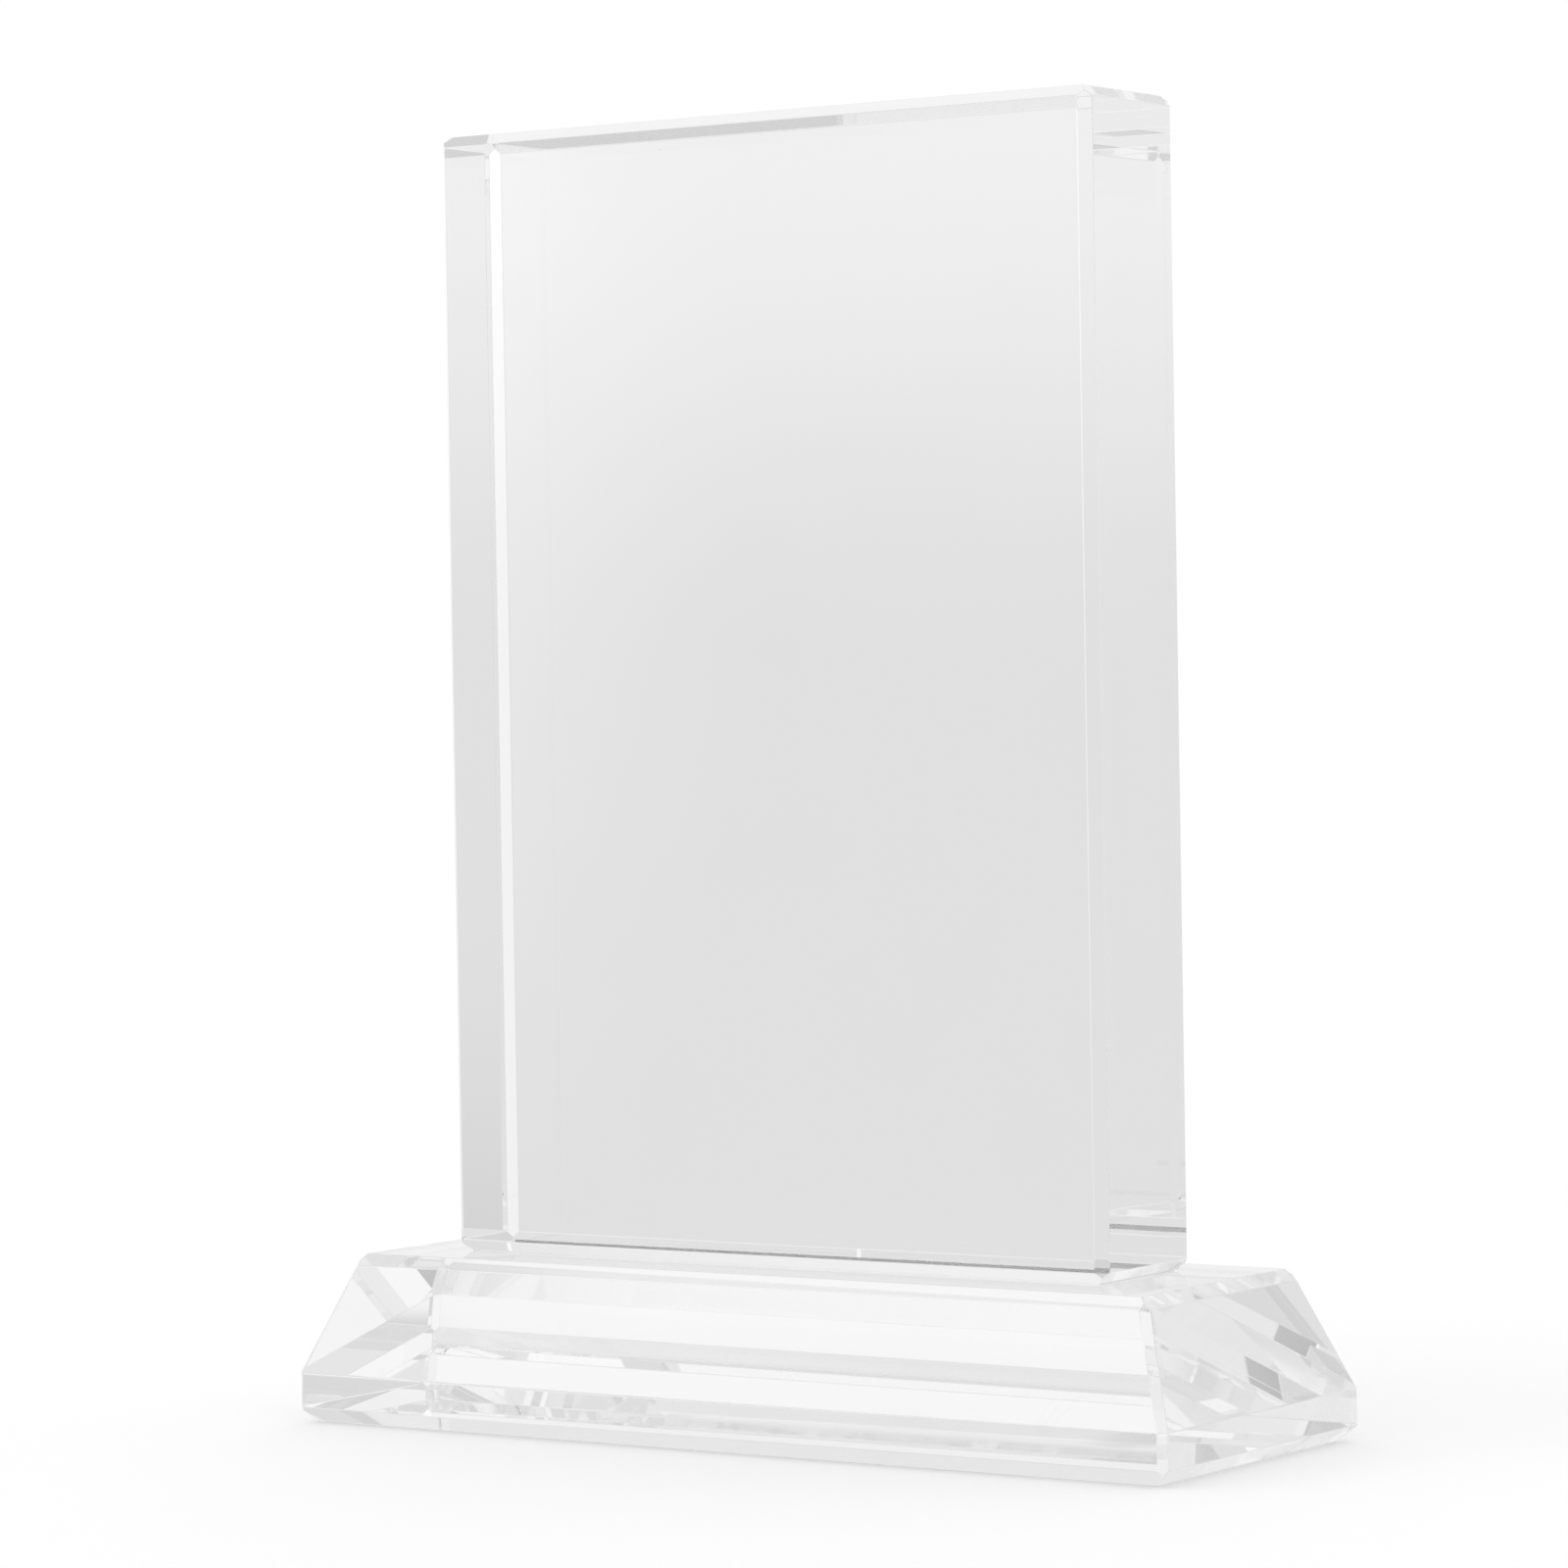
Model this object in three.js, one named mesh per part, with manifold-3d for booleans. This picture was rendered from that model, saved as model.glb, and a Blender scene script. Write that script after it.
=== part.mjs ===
import * as THREE from 'three';
import { mergeVertices } from 'three/addons/utils/BufferGeometryUtils.js';
import Module from 'manifold-3d';

// Crystal picture frame: an upright clear plaque bonded to a bevelled clear base.
// Millimetres, +Z up. The origin is the centre of the base's underside.
// X runs along the plaque's width, and the picture side looks towards -Y.

// Plaque
const PLAQUE_WIDTH = 102;
const PLAQUE_HEIGHT = 150;
const PLAQUE_THICKNESS = 22;
const PLAQUE_CHAMFER = 1.4;

// Base, from the table upwards
const BASE_WIDTH = 135;
const BASE_DEPTH = 50;
const FOOT_CHAMFER = 2;
const BAND_HEIGHT = 4.7;
const SLOPE_HEIGHT = 14.2;
const SLOPE_RUN_SIDE = 5.5;
const SLOPE_RUN_FRONT = 5.5;
const RIM_CHAMFER = 1.5;
const CORNER_FACET = 1;

// Bond: the cured layer of clear adhesive under the plaque's foot
const BOND_THICKNESS = 0.2;
const BOND_SETBACK = 0.3;

// Every prism that is trimmed by another one reaches past it by this much.
const TRIM_ALLOWANCE = 5;

// Heights that the pieces share
const BAND_TOP = FOOT_CHAMFER + BAND_HEIGHT;
const SLOPE_TOP = BAND_TOP + SLOPE_HEIGHT;
const BASE_TOP = SLOPE_TOP + RIM_CHAMFER;
const PLAQUE_FOOT = BASE_TOP + BOND_THICKNESS;

const X_AXIS = new THREE.Vector3(1, 0, 0);
const Y_AXIS = new THREE.Vector3(0, 1, 0);
const Z_AXIS = new THREE.Vector3(0, 0, 1);

const wasm = await Module();
wasm.setup();

// Turns a closed geometry into a solid that can be cut.
function toSolid(geometry) {
  const bare = geometry.clone();
  bare.deleteAttribute('normal');
  bare.deleteAttribute('uv');
  const merged = mergeVertices(bare);
  return new wasm.Manifold(new wasm.Mesh({
    numProp: 3,
    vertProperties: new Float32Array(merged.attributes.position.array),
    triVerts: new Uint32Array(merged.index.array),
  }));
}

// Turns a cut solid back into a geometry.
function toGeometry(solid) {
  const mesh = solid.getMesh();
  const geometry = new THREE.BufferGeometry();
  geometry.setAttribute('position', new THREE.BufferAttribute(mesh.vertProperties, 3));
  geometry.setIndex(new THREE.BufferAttribute(mesh.triVerts, 1));
  return geometry;
}

// What three prisms, seen from three sides, have in common.
function commonSolid(first, second, third) {
  return toGeometry(toSolid(first).intersect(toSolid(second)).intersect(toSolid(third)));
}

// Extrudes an outline both ways from its plane. The outline's own x and y are laid along
// the two given axes, and the length runs along the third.
function prism(outline, length, alongX, alongY) {
  const geometry = new THREE.ExtrudeGeometry(new THREE.Shape(outline), {
    depth: length,
    bevelEnabled: false,
  });
  geometry.translate(0, 0, -length / 2);
  const along = new THREE.Vector3().crossVectors(alongX, alongY);
  geometry.applyMatrix4(new THREE.Matrix4().makeBasis(alongX, alongY, along));
  return geometry;
}

// A rectangle with its four corners cut at 45 degrees, its lower side at the given height.
function chamferedRectangle(width, height, chamfer, bottom) {
  const side = width / 2;
  const top = bottom + height;
  return [
    new THREE.Vector2(-side + chamfer, bottom),
    new THREE.Vector2(side - chamfer, bottom),
    new THREE.Vector2(side, bottom + chamfer),
    new THREE.Vector2(side, top - chamfer),
    new THREE.Vector2(side - chamfer, top),
    new THREE.Vector2(-side + chamfer, top),
    new THREE.Vector2(-side, top - chamfer),
    new THREE.Vector2(-side, bottom + chamfer),
  ];
}

// The base's outline seen square on: foot chamfer, upright band, slope, rim chamfer.
function baseOutline(width, slopeRun) {
  const side = width / 2;
  const rim = side - slopeRun;
  const right = [
    new THREE.Vector2(side - FOOT_CHAMFER, 0),
    new THREE.Vector2(side, FOOT_CHAMFER),
    new THREE.Vector2(side, BAND_TOP),
    new THREE.Vector2(rim, SLOPE_TOP),
    new THREE.Vector2(rim - RIM_CHAMFER, BASE_TOP),
  ];
  const left = right.map((point) => new THREE.Vector2(-point.x, point.y)).reverse();
  return [...right, ...left];
}

// The four corner facets as one square-plan body standing on its corner: upright along
// the band, then leaning in as fast as the two slopes that meet on each hip.
function cornerFacetBody() {
  const reach = BASE_WIDTH / 2 + BASE_DEPTH / 2 - CORNER_FACET;
  const lean = (SLOPE_RUN_SIDE + SLOPE_RUN_FRONT) / SLOPE_HEIGHT;
  const profile = [
    new THREE.Vector2(0, -TRIM_ALLOWANCE),
    new THREE.Vector2(reach, -TRIM_ALLOWANCE),
    new THREE.Vector2(reach, BAND_TOP),
    new THREE.Vector2(reach - lean * (BASE_TOP + TRIM_ALLOWANCE - BAND_TOP), BASE_TOP + TRIM_ALLOWANCE),
    new THREE.Vector2(0, BASE_TOP + TRIM_ALLOWANCE),
  ];
  const sides = 4;
  const body = new THREE.LatheGeometry(profile, sides);
  body.rotateX(Math.PI / 2);
  return body;
}

// Plaque: the outlines seen from the front, from the side and from above, each with cut
// corners, so that all twelve edges have a polished chamfer and three meet on each corner.
function plaqueGeometry() {
  const front = chamferedRectangle(PLAQUE_WIDTH, PLAQUE_HEIGHT, PLAQUE_CHAMFER, PLAQUE_FOOT);
  const side = chamferedRectangle(PLAQUE_THICKNESS, PLAQUE_HEIGHT, PLAQUE_CHAMFER, PLAQUE_FOOT);
  const plan = chamferedRectangle(PLAQUE_WIDTH, PLAQUE_THICKNESS, PLAQUE_CHAMFER, -PLAQUE_THICKNESS / 2);
  const tall = 2 * (PLAQUE_FOOT + PLAQUE_HEIGHT + TRIM_ALLOWANCE);
  return commonSolid(
    prism(front, PLAQUE_THICKNESS + TRIM_ALLOWANCE, X_AXIS, Z_AXIS),
    prism(side, PLAQUE_WIDTH + TRIM_ALLOWANCE, Y_AXIS, Z_AXIS),
    prism(plan, tall, X_AXIS, Y_AXIS),
  );
}

// Base: the front and side outlines give the four slopes with their mitred hips, and the
// corner facets then run down each hip and the band's upright edge.
function baseGeometry() {
  return commonSolid(
    prism(baseOutline(BASE_WIDTH, SLOPE_RUN_SIDE), BASE_DEPTH + TRIM_ALLOWANCE, X_AXIS, Z_AXIS),
    prism(baseOutline(BASE_DEPTH, SLOPE_RUN_FRONT), BASE_WIDTH + TRIM_ALLOWANCE, Y_AXIS, Z_AXIS),
    cornerFacetBody(),
  );
}

// Bond: fills the joint under the flat of the plaque's foot and stops short of its chamfers.
function bondGeometry() {
  const inset = PLAQUE_CHAMFER + BOND_SETBACK;
  const layer = new THREE.BoxGeometry(
    PLAQUE_WIDTH - 2 * inset,
    PLAQUE_THICKNESS - 2 * inset,
    BOND_THICKNESS,
  );
  layer.translate(0, 0, BASE_TOP + BOND_THICKNESS / 2);
  return layer;
}

const crystal = {
  color: 0xe6e6e6,
  roughness: 0.02,
  metalness: 0,
  transparent: true,
  opacity: 0.35,
  flatShading: true,
};

function addPiece(name, geometry, look) {
  const piece = new THREE.Mesh(geometry, new THREE.MeshStandardMaterial(look));
  piece.name = name;
  frame.add(piece);
}

const frame = new THREE.Group();
addPiece('crystal_base', baseGeometry(), crystal);
addPiece('adhesive_bond', bondGeometry(), { ...crystal, color: 0xdcdcdc, roughness: 0.1 });
addPiece('crystal_plaque', plaqueGeometry(), crystal);

export default frame;
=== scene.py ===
import math

import bmesh
import bpy
from mathutils import Euler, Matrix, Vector


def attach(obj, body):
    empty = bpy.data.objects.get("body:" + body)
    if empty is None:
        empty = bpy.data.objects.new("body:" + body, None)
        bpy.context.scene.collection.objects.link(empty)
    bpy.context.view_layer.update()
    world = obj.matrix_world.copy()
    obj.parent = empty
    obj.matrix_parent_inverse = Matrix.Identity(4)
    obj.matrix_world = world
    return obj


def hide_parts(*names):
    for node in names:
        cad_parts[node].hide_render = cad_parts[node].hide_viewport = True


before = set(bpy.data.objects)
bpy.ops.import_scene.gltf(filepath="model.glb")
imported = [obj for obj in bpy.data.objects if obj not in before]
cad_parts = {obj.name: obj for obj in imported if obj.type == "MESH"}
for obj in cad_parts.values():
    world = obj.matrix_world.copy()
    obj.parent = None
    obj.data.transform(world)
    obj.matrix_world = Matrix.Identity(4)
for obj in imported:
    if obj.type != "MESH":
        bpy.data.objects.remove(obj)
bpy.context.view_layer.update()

# Crystal picture frame: an upright clear plaque bonded to a bevelled clear base.
# Shapes are worked in millimetres and brought to metres when they become pieces.
MM = 0.001

# Plaque
PLAQUE_WIDTH = 102
PLAQUE_HEIGHT = 150
PLAQUE_THICKNESS = 22
PLAQUE_CHAMFER = 1.4

# Base, from the table upwards
BASE_WIDTH = 135
BASE_DEPTH = 50
FOOT_CHAMFER = 2
BAND_TOP = 6.7
SLOPE_TOP = 20.9
SLOPE_RUN = 5.5
CORNER_FACET = 1
BASE_TOP = 22.4

# Bond
BOND_THICKNESS = 0.2
BOND_SETBACK = 0.3
PLAQUE_FOOT = BASE_TOP + BOND_THICKNESS
BOND_WIDTH = PLAQUE_WIDTH - 2 * (PLAQUE_CHAMFER + BOND_SETBACK)
BOND_DEPTH = PLAQUE_THICKNESS - 2 * (PLAQUE_CHAMFER + BOND_SETBACK)
# How far the dark strip along the joint reaches up the plaque's back chamfer
SEAM_HEIGHT = 0.35

# The polishing wheel breaks every cut edge by this much, in two steps.
ARRIS = 0.09
ARRIS_STEPS = 2
SHARP_EDGE = math.radians(5)
CUT_ACCURACY = 1e-5
LEVEL_ACCURACY = 1e-3

CRYSTAL_IOR = 1.52
RESIN_IOR = 1.49
# A ray that enters the crystal is turned back many times before it leaves.
BOUNCES = 400

# The order of the finishes on the plaque and on the base, and on the bond
OPEN_FACE, BONDED_FACE, THIRD_FINISH = 0, 1, 2

# Camera: millimetres of lens and sensor, metres, degrees
LENS = 129.42
SENSOR = 36
CAMERA_CLIP = (0.01, 100)
CAMERA_PLACE = (0.41354, -0.6144, 0.0994)
CAMERA_TURN = (88.9004, 0.9293, 34.1564)

# Lamps: name, place, width, height, watts. Each one faces the target.
LAMPS = [
    ("key_softbox", (-0.8, -0.95, 1.1), 1.0, 0.9, 3.1),
    ("back_softbox", (-0.5, 1.4, 0.8), 0.9, 0.5, 1.6),
]
LAMP_TARGET = (0, 0, 0.08)

# Studio: how bright each part of the surroundings is, where 1 is white
SKY_LIGHT = 0.97
FLOOR_TONE = 0.97
FLOOR_WHITENED = 0.5
# The floor lies just under the base and fades into the backdrop between these distances.
FLOOR_LEVEL = -0.0002
FLOOR_FADE = (0.09, 0.34)
FLOOR_SEGMENTS = 96
HORIZON = 0.77
# The sine of the height where a band starts and ends, and what it adds to the tone
BACKDROP_BANDS = [
    (0.0, 0.1, 0.13), (0.35, 0.45, -0.08), (0.65, 0.85, -0.05),
    (-0.09, -0.24, 0.175), (-0.35, -0.55, 0.02), (-0.7, -0.82, -0.1),
]
# Round patches that bring the facets near the photograph's grey levels:
# azimuth from the back of the room and height, inner and outer radius in degrees, gain
BACKDROP_GLOWS = [
    (4, 0, 6, 15, 0.17), (47, 2, 4, 13, 0.15), (36, 21, 3, 8, 0.06), (-22, 33, 8, 20, 0.12),
    (142, 27, 6, 18, 0.17), (-41, 18, 5, 14, -0.1), (-112, 20, 10, 35, -0.18),
    (-40, -21, 8, 19, -0.3), (-100, -55, 8, 24, -0.2), (-147, -57, 6, 13, -0.35),
    (20, -16, 4, 9, -0.11), (-52, 60, 7, 14, -0.15), (140, 60, 6, 12, -0.07),
]
# Two ovals of floor that only the glass sees: middle, how the oval is measured, reach, tone.
# The first is a painted shadow at the base's left end. The second is a painted strip of light behind the
# base, which glows on its own.
PAINTED_SHADOW_OVAL = ((-0.08, 0, 0), (1, 0.6, 1), (0.01, 0.024))
PAINTED_SHADOW_TONE = 0.78
PAINTED_LIGHT_OVAL = ((-0.011, 0.038, 0), (0.12, 1, 1), (0.004, 0.011))
PAINTED_LIGHT_TONE = 0.965

# How fine each mark is: cells or waves to the metre
SMUDGE_SCALE = 45.0
SPECK_SCALE = 260.0
LINT_SCALE = 70.0
LINT_PATCHES = (22, 30, 60)
WAVE_SCALE = 55.0
# A speck's radius, in cells
SPECK_REACH = 0.05


class Board:
    """A node tree with short ways to add and join its nodes."""

    def __init__(self, tree):
        self.nodes, self.links = tree.nodes, tree.links

    def add(self, kind):
        return self.nodes.new("ShaderNode" + kind)

    def put(self, socket, value):
        if isinstance(value, bpy.types.NodeSocket):
            self.links.new(value, socket)
        else:
            socket.default_value = value

    def worked(self, kind, operation, values):
        node = self.add(kind)
        node.operation = operation
        for socket, value in zip(node.inputs, values):
            self.put(socket, value)
        return node.outputs

    def math(self, operation, *values):
        return self.worked("Math", operation, values)[0]

    def vector(self, operation, *values):
        gives = "Value" if operation in ("DOT_PRODUCT", "LENGTH") else "Vector"
        return self.worked("VectorMath", operation, values)[gives]

    def ramp(self, value, start, end, low=0.0, high=1.0):
        node = self.add("MapRange")
        node.interpolation_type = "SMOOTHSTEP"
        names = ("Value", "From Min", "From Max", "To Min", "To Max")
        for name, number in zip(names, (value, start, end, low, high)):
            self.put(node.inputs[name], number)
        return node.outputs["Result"]

    def noise(self, place, scale, detail=0.0, distortion=0.0):
        node = self.add("TexNoise")
        self.put(node.inputs["Vector"], place)
        self.put(node.inputs["Scale"], scale)
        self.put(node.inputs["Detail"], detail)
        self.put(node.inputs["Distortion"], distortion)
        return node.outputs[0]

    def stretched(self, place, scale):
        node = self.add("Mapping")
        self.put(node.inputs["Vector"], place)
        self.put(node.inputs["Scale"], scale)
        return node.outputs[0]

    def dots(self, place, scale, reach, share):
        """Small round spots in a share of the cells, as wide as reach, and a shade for each cell."""
        cells = self.add("TexVoronoi")
        self.put(cells.inputs["Vector"], place)
        self.put(cells.inputs["Scale"], scale)
        lot = self.add("SeparateColor")
        self.put(lot.inputs[0], cells.outputs["Color"])
        chosen = self.math("LESS_THAN", lot.outputs[0], share)
        spots = self.math("MULTIPLY", self.ramp(cells.outputs["Distance"], reach, 0.0), chosen)
        return spots, lot.outputs[1]

    def mixed(self, share, first, second):
        node = self.add("MixShader")
        for socket, value in zip(node.inputs, (share, first, second)):
            self.put(socket, value)
        return node.outputs[0]

    def white(self, kind, strength):
        """A background or an emission of pure white at the given strength."""
        node = self.add(kind)
        self.put(node.inputs["Color"], (1, 1, 1, 1))
        self.put(node.inputs["Strength"], strength)
        return node.outputs[0]

    def sight(self):
        """Two masks: 1 where glass or a mirrored face sees, and 1 where the camera sees."""
        path = self.add("LightPath").outputs
        through = self.math("MAXIMUM", path["Is Glossy Ray"], path["Is Transmission Ray"])
        return through, path["Is Camera Ray"]


# Camera, floor and light

def place_camera():
    lens = bpy.data.cameras.new("camera")
    lens.sensor_width = SENSOR
    lens.lens = LENS
    lens.clip_start, lens.clip_end = CAMERA_CLIP
    camera = bpy.data.objects.new("camera", lens)
    camera.location = CAMERA_PLACE
    camera.rotation_euler = Euler([math.radians(turn) for turn in CAMERA_TURN])
    bpy.context.scene.collection.objects.link(camera)
    bpy.context.scene.camera = camera


def glow(board, direction, azimuth, height, inner, outer, gain):
    """A soft round patch of the backdrop, lighter or darker than the rest."""
    turn = Euler((math.radians(height), 0, math.radians(azimuth)))
    near = board.vector("DOT_PRODUCT", direction, turn.to_matrix() @ Vector((0, 1, 0)))
    return board.ramp(near, math.cos(math.radians(outer)), math.cos(math.radians(inner)), 0.0, gain)


def light_room():
    """The camera sees white, glass and mirrors see the toned backdrop, and the rest is soft light."""
    world = bpy.data.worlds.new("studio")
    bpy.context.scene.world = world
    world.use_nodes = True
    board = Board(world.node_tree)
    board.nodes.clear()
    through, by_camera = board.sight()
    direction = board.add("TexCoord").outputs["Generated"]
    parts = board.add("SeparateXYZ")
    board.put(parts.inputs[0], direction)
    bands = [board.ramp(parts.outputs["Z"], low, high, 0.0, gain) for low, high, gain in BACKDROP_BANDS]
    tone = HORIZON
    for part in bands + [glow(board, direction, *patch) for patch in BACKDROP_GLOWS]:
        tone = board.math("ADD", part, tone)
    backdrop = board.white("Background", board.math("MAXIMUM", tone, by_camera))
    shows_backdrop = board.math("MAXIMUM", through, by_camera)
    shown = board.mixed(shows_backdrop, board.white("Background", SKY_LIGHT), backdrop)
    board.put(board.add("OutputWorld").inputs["Surface"], shown)


def hang_softbox(name, place, width, height, watts):
    lamp = bpy.data.lights.new(name, "AREA")
    lamp.shape = "RECTANGLE"
    lamp.size, lamp.size_y = width, height
    lamp.energy = watts
    box = bpy.data.objects.new(name, lamp)
    box.location = place
    box.rotation_euler = (Vector(LAMP_TARGET) - Vector(place)).to_track_quat("-Z", "Y").to_euler()
    # Glass shows the smooth backdrop, not the lamp's square.
    box.visible_glossy = False
    box.visible_transmission = False
    bpy.context.scene.collection.objects.link(box)


def floor_oval(board, place, oval, inside, outside):
    """A value that eases from inside to outside an oval on the floor."""
    middle, measure, reach = oval
    near = board.vector("MULTIPLY", board.vector("SUBTRACT", place, middle), measure)
    return board.ramp(board.vector("LENGTH", near), *reach, inside, outside)


def lay_floor():
    bm = bmesh.new()
    bmesh.ops.create_circle(bm, cap_ends=True, radius=FLOOR_FADE[1], segments=FLOOR_SEGMENTS)
    bmesh.ops.translate(bm, verts=bm.verts, vec=(0, 0, FLOOR_LEVEL))
    mesh = bpy.data.meshes.new("floor")
    bm.to_mesh(mesh)
    bm.free()
    floor = bpy.data.objects.new("floor", mesh)
    bpy.context.scene.collection.objects.link(floor)

    paper = bpy.data.materials.new("pale_floor")
    paper.use_nodes = True
    board = Board(paper.node_tree)
    board.nodes.clear()
    place = board.add("TexCoord").outputs["Object"]
    through, by_camera = board.sight()
    sheet = board.add("BsdfDiffuse")
    board.put(sheet.inputs["Color"], (FLOOR_TONE, FLOOR_TONE, FLOOR_TONE, 1))
    lift = board.math("MULTIPLY", by_camera, FLOOR_WHITENED)
    lifted = board.mixed(lift, sheet.outputs[0], board.white("Emission", 1.0))

    # Glass sees through the sheet to the backdrop's lower half, except in the two ovals: a painted shadow
    # darkens it at the base's left end, and a strip of painted light glows behind the base.
    clear = board.add("BsdfTransparent")
    board.put(clear.inputs["Color"], floor_oval(board, place, PAINTED_SHADOW_OVAL, PAINTED_SHADOW_TONE, 1.0))
    painted_light_share = floor_oval(board, place, PAINTED_LIGHT_OVAL, 1.0, 0.0)
    backdrop = board.mixed(painted_light_share, clear.outputs[0], board.white("Emission", PAINTED_LIGHT_TONE))
    seen = board.mixed(through, lifted, backdrop)
    faded = board.ramp(board.vector("LENGTH", place), *FLOOR_FADE)
    shown = board.mixed(faded, seen, backdrop)
    board.put(board.add("OutputMaterial").inputs["Surface"], shown)
    mesh.materials.append(paper)


# Shapes

def block(width, depth, low, high):
    bm = bmesh.new()
    bmesh.ops.create_cube(bm, size=1)
    bmesh.ops.scale(bm, verts=bm.verts, vec=(width, depth, high - low))
    bmesh.ops.translate(bm, verts=bm.verts, vec=(0, 0, (low + high) / 2))
    return bm


def slice_at(bm, point, away, **options):
    everything = bm.verts[:] + bm.edges[:] + bm.faces[:]
    return bmesh.ops.bisect_plane(
        bm, geom=everything, dist=CUT_ACCURACY, plane_co=point, plane_no=away, **options,
    )


def grind(bm, point, away):
    """Cuts a flat facet: what lies beyond the plane is taken off and the cut is closed."""
    cut = slice_at(bm, point, Vector(away).normalized(), clear_outer=True)
    rim = [part for part in cut["geom_cut"] if isinstance(part, bmesh.types.BMEdge)]
    bmesh.ops.contextual_create(bm, geom=rim)


def break_edges(bm):
    """Rounds every cut edge a little and notes the rounded faces as worn."""
    worn = bm.faces.layers.float.new("worn")
    sharp = [edge for edge in bm.edges if edge.calc_face_angle(0) > SHARP_EDGE]
    rounded = bmesh.ops.bevel(
        bm,
        geom=sharp,
        offset=ARRIS,
        offset_type="OFFSET",
        segments=ARRIS_STEPS,
        profile=0.5,
        affect="EDGES",
        material=-1,
        clamp_overlap=True,
    )
    for face in rounded["faces"]:
        face[worn] = 1


def level_face(bm, height, up):
    return next(
        face for face in bm.faces
        if face.normal.z * up > 0.99 and abs(face.calc_center_median().z - height) < LEVEL_ACCURACY
    )


def seam_line(bm):
    """Marks the lowest strip of the plaque's back chamfer, along the joint, for the darker half-clear
    finish.
    """
    top = PLAQUE_FOOT + SEAM_HEIGHT
    slice_at(bm, (0, 0, top), (0, 0, 1))
    for face in bm.faces:
        slanted_back = face.normal.z > -0.98 and face.normal.y > 0.3
        if slanted_back and face.calc_center_median().z < top:
            face.material_index = THIRD_FINISH


def bonded_patch(bm, height, up):
    """Marks off the bonded rectangle on a level face."""
    face = level_face(bm, height, up)
    bmesh.ops.inset_individual(bm, faces=[face], thickness=0.2, depth=0)
    corners = face.verts[:]
    across = max(corner.co.x for corner in corners)
    along = max(corner.co.y for corner in corners)
    bmesh.ops.scale(bm, verts=corners, vec=(BOND_WIDTH / 2 / across, BOND_DEPTH / 2 / along, 1))
    face.material_index = BONDED_FACE


def finished_piece(bm, name, node, finishes):
    bmesh.ops.recalc_face_normals(bm, faces=bm.faces)
    bmesh.ops.scale(bm, verts=bm.verts, vec=(MM, MM, MM))
    mesh = bpy.data.meshes.new(name)
    bm.to_mesh(mesh)
    bm.free()
    for finish in finishes:
        mesh.materials.append(finish)
    piece = bpy.data.objects.new(name, mesh)
    bpy.context.scene.collection.objects.link(piece)
    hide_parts(node)
    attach(piece, "root")


def cut_plaque(finishes):
    top = PLAQUE_FOOT + PLAQUE_HEIGHT
    bm = block(PLAQUE_WIDTH, PLAQUE_THICKNESS, PLAQUE_FOOT, top)
    side, front = PLAQUE_WIDTH / 2, PLAQUE_THICKNESS / 2
    middle = (PLAQUE_FOOT + top) / 2
    up = PLAQUE_HEIGHT / 2
    for a in (-1, 1):
        for b in (-1, 1):
            grind(bm, (a * side, b * (front - PLAQUE_CHAMFER), middle), (a, b, 0))
            grind(bm, (a * side, 0, middle + b * (up - PLAQUE_CHAMFER)), (a, 0, b))
            grind(bm, (0, a * front, middle + b * (up - PLAQUE_CHAMFER)), (0, a, b))
    break_edges(bm)
    seam_line(bm)
    bonded_patch(bm, PLAQUE_FOOT, -1)
    finished_piece(bm, "polished_plaque", "crystal_plaque", finishes)


def cut_base(finishes):
    bm = block(BASE_WIDTH, BASE_DEPTH, 0, BASE_TOP)
    rise = SLOPE_TOP - BAND_TOP
    for a in (-1, 1):
        side, front = a * BASE_WIDTH / 2, a * BASE_DEPTH / 2
        grind(bm, (side, 0, BAND_TOP), (a * rise, 0, SLOPE_RUN))
        grind(bm, (0, front, BAND_TOP), (0, a * rise, SLOPE_RUN))
        grind(bm, (side, 0, FOOT_CHAMFER), (a, 0, -1))
        grind(bm, (0, front, FOOT_CHAMFER), (0, a, -1))
        grind(bm, (side - a * SLOPE_RUN, 0, SLOPE_TOP), (a, 0, 1))
        grind(bm, (0, front - a * SLOPE_RUN, SLOPE_TOP), (0, a, 1))
    # A narrow facet down each corner, on the band and on the slope
    reach = BASE_WIDTH / 2 + BASE_DEPTH / 2 - CORNER_FACET
    lean = 2 * SLOPE_RUN / rise
    for a in (-1, 1):
        for b in (-1, 1):
            grind(bm, (a * reach, 0, BAND_TOP), (a, b, 0))
            grind(bm, (a * reach, 0, BAND_TOP), (a, b, lean))
    break_edges(bm)
    # The front and back foot chamfers take the darker third finish.
    for face in bm.faces:
        if abs(face.normal.y) > 0.6 and face.normal.z < -0.6:
            face.material_index = THIRD_FINISH
    bonded_patch(bm, BASE_TOP, 1)
    finished_piece(bm, "polished_base", "crystal_base", finishes)


def pour_bond(finishes):
    bm = block(BOND_WIDTH, BOND_DEPTH, BASE_TOP, PLAQUE_FOOT)
    for face in bm.faces:
        face.material_index = BONDED_FACE if abs(face.normal.z) > 0.9 else OPEN_FACE
    finished_piece(bm, "cured_bond", "adhesive_bond", finishes)


# Finishes

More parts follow.
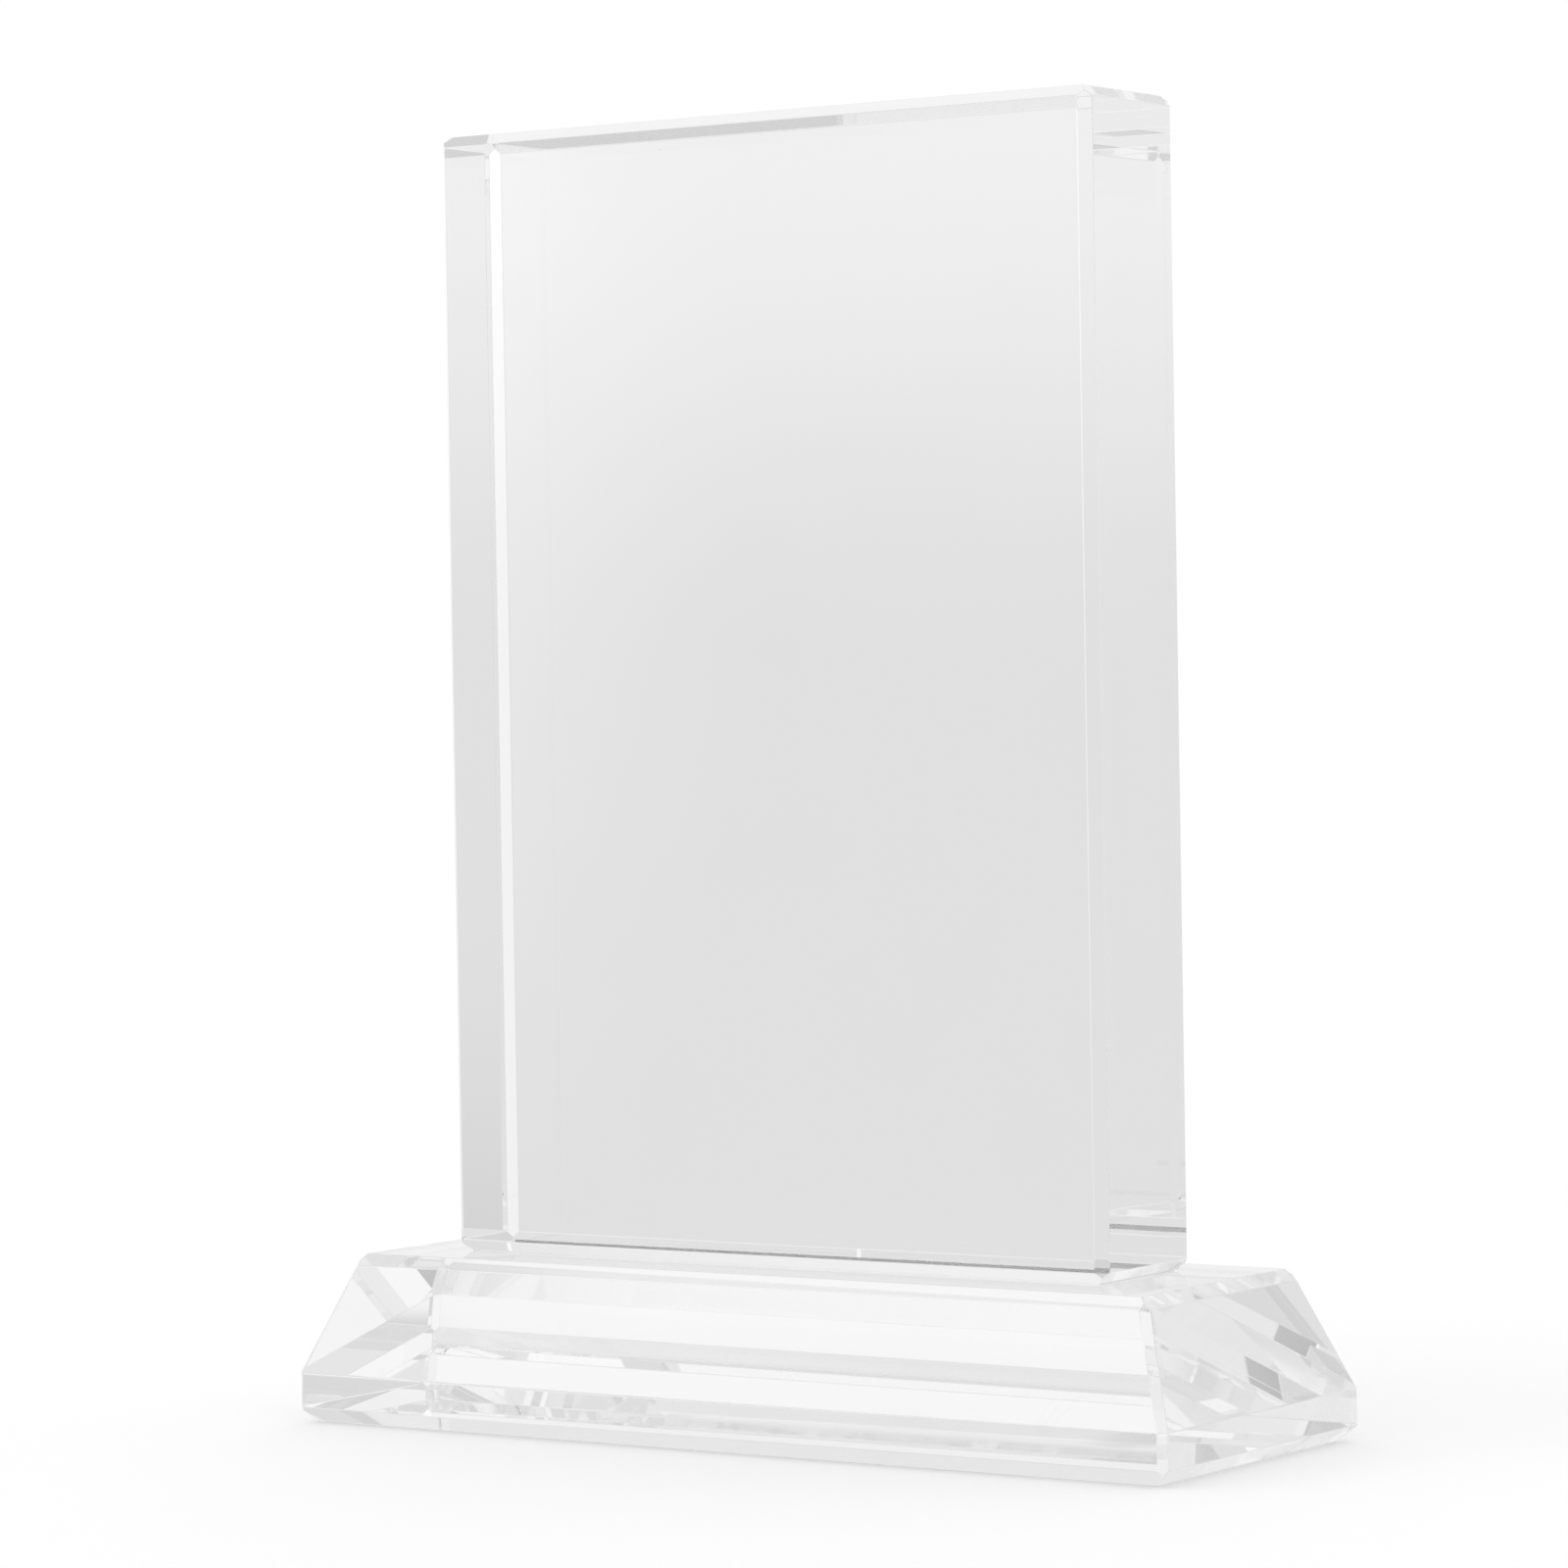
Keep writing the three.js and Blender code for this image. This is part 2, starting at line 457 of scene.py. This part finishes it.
def surface_marks():
    """What handling and polishing leave: smudges, dust, hairlines, soft waves, dulled edges."""
    group = bpy.data.node_groups.new("surface_marks", "ShaderNodeTree")
    group.interface.new_socket("Place", in_out="INPUT", socket_type="NodeSocketVector")
    for name, value in (
        ("Edge", 0.0), ("Clean Tone", 0.97), ("Dust Tone", 0.6), ("Clean Roughness", 0.0),
        ("Smudges", 0.02), ("Dust", 0.3), ("Hairlines", 0.1), ("Edge Roughness", 0.2),
        ("Speck Share", 0.05),
    ):
        socket = group.interface.new_socket(name, in_out="INPUT", socket_type="NodeSocketFloat")
        socket.default_value = value
    for name, kind in (("Color", "Color"), ("Roughness", "Float"), ("Height", "Float")):
        group.interface.new_socket(name, in_out="OUTPUT", socket_type="NodeSocket" + kind)
    board = Board(group)
    given = board.nodes.new("NodeGroupInput").outputs
    place = given["Place"]

    smudges = board.ramp(board.noise(place, SMUDGE_SCALE, 1.0), 0.5, 0.75)
    specks, nicks = board.dots(place, SPECK_SCALE, SPECK_REACH, given["Speck Share"])
    curl = board.math("ABSOLUTE", board.math("SUBTRACT", board.noise(place, LINT_SCALE, 0.0, 2.5), 0.5))
    patch = board.ramp(board.noise(board.stretched(place, LINT_PATCHES), 1.0), 0.6, 0.7)
    lint = board.math("MULTIPLY", board.ramp(curl, 0.007, 0.003), patch)
    hairlines = board.math("MULTIPLY", lint, given["Hairlines"])
    uneven = board.math("ADD", 0.6, board.math("MULTIPLY", nicks, 0.4))
    edge = board.math("MULTIPLY", given["Edge"], uneven)

    rough = board.math("ADD", given["Clean Roughness"], board.math("MULTIPLY", smudges, given["Smudges"]))
    rough = board.math("ADD", rough, board.math("MULTIPLY", specks, given["Dust"]))
    rough = board.math("ADD", rough, hairlines)
    rough = board.math("ADD", rough, board.math("MULTIPLY", edge, given["Edge Roughness"]))
    dusted = board.add("Mix")
    board.put(dusted.inputs["Factor"], specks)
    board.put(dusted.inputs["A"], given["Clean Tone"])
    board.put(dusted.inputs["B"], given["Dust Tone"])
    tone = board.math("SUBTRACT", dusted.outputs["Result"], board.math("MULTIPLY", smudges, 0.01))
    tone = board.math("SUBTRACT", tone, board.math("MULTIPLY", edge, 0.03))
    tone = board.math("SUBTRACT", tone, hairlines)
    colour = board.add("CombineColor")
    for socket in colour.inputs:
        board.put(socket, tone)
    out = board.nodes.new("NodeGroupOutput").inputs
    board.put(out["Color"], colour.outputs[0])
    board.put(out["Roughness"], rough)
    board.put(out["Height"], board.noise(place, WAVE_SCALE))
    return group


def marked_finish(name, marks, index, relief, transmission=1.0, alpha=1.0, **values):
    """A Principled finish whose colour, roughness and relief come from the shared marks."""
    material = bpy.data.materials.new(name)
    material.use_nodes = True
    board = Board(material.node_tree)
    shader = board.nodes["Principled BSDF"].inputs
    shader["IOR"].default_value = index
    shader["Transmission Weight"].default_value = transmission
    shader["Alpha"].default_value = alpha
    worn = board.add("Attribute")
    worn.attribute_name = "worn"
    handled = board.add("Group")
    handled.node_tree = marks
    board.put(handled.inputs["Place"], board.add("TexCoord").outputs["Object"])
    board.put(handled.inputs["Edge"], worn.outputs["Fac"])
    for socket, value in values.items():
        board.put(handled.inputs[socket.replace("_", " ").title()], value)
    bump = board.add("Bump")
    board.put(bump.inputs["Strength"], 1.0)
    board.put(bump.inputs["Distance"], relief)
    board.put(bump.inputs["Height"], handled.outputs["Height"])
    board.put(shader["Base Color"], handled.outputs["Color"])
    board.put(shader["Roughness"], handled.outputs["Roughness"])
    board.put(shader["Normal"], bump.outputs[0])
    return material


def make_finishes():
    """Three lists: the finishes of the plaque, the base and the bond, in the order of their numbers."""
    marks = surface_marks()
    plaque_crystal = marked_finish(
        "plaque_crystal", marks, CRYSTAL_IOR, 8e-6, clean_tone=0.97, clean_roughness=0.004,
        smudges=0.012, dust=0.4, hairlines=0.0, edge_roughness=0.2, speck_share=0.02,
    )
    base_crystal = marked_finish(
        "base_crystal", marks, CRYSTAL_IOR, 8e-6, clean_tone=0.97, clean_roughness=0.006,
        smudges=0.012, dust=0.4, hairlines=0.03, edge_roughness=0.2, speck_share=0.02,
    )
    # Where the adhesive wets the crystal. Its index is a little lower, so it only mirrors a flat glance.
    joint = marked_finish(
        "wetted_joint", marks, CRYSTAL_IOR / RESIN_IOR, 8e-6, clean_tone=0.98, clean_roughness=0.01,
        smudges=0.02, dust=0.3, hairlines=0.0, speck_share=0.04,
    )
    resin = marked_finish(
        "cured_resin", marks, RESIN_IOR, 3e-5, clean_tone=0.86, clean_roughness=0.1,
        smudges=0.1, dust=0.3, hairlines=0.0, speck_share=0.15,
    )
    # The adhesive's own side of the joint: the crystal's side already bends the light.
    bonded_side = marked_finish(
        "bonded_side", marks, RESIN_IOR, 8e-6, transmission=0.0, alpha=0.0, clean_tone=0.98,
        clean_roughness=0.03, smudges=0.03, dust=0.3, hairlines=0.0, speck_share=0.04,
    )
    # A darker, half-clear strip along the joint, with dust specks.
    seam = marked_finish(
        "dark_seam", marks, RESIN_IOR, 4e-5, transmission=0.5, clean_tone=0.5, dust_tone=0.7,
        clean_roughness=0.35, smudges=0.2, dust=0.2, hairlines=0.0, edge_roughness=0.1, speck_share=0.4,
    )
    # The base's front and back foot chamfers are a little rougher and darker in tone than the other
    # faces.
    dark_foot_chamfer = marked_finish(
        "dark_foot_chamfer", marks, CRYSTAL_IOR, 1e-5, clean_tone=0.78, clean_roughness=0.02,
        smudges=0.03, dust=0.3, hairlines=0.0, edge_roughness=0.2, speck_share=0.06,
    )
    return [plaque_crystal, joint, seam], [base_crystal, joint, dark_foot_chamfer], [resin, bonded_side]


bpy.context.scene.view_settings.view_transform = "Standard"
place_camera()
light_room()
for lamp in LAMPS:
    hang_softbox(*lamp)
lay_floor()

plaque_finishes, base_finishes, bond_finishes = make_finishes()
cut_plaque(plaque_finishes)
cut_base(base_finishes)
pour_bond(bond_finishes)

cycles = bpy.context.scene.cycles
cycles.max_bounces = BOUNCES
cycles.glossy_bounces = BOUNCES
cycles.transmission_bounces = BOUNCES
cycles.transparent_max_bounces = BOUNCES
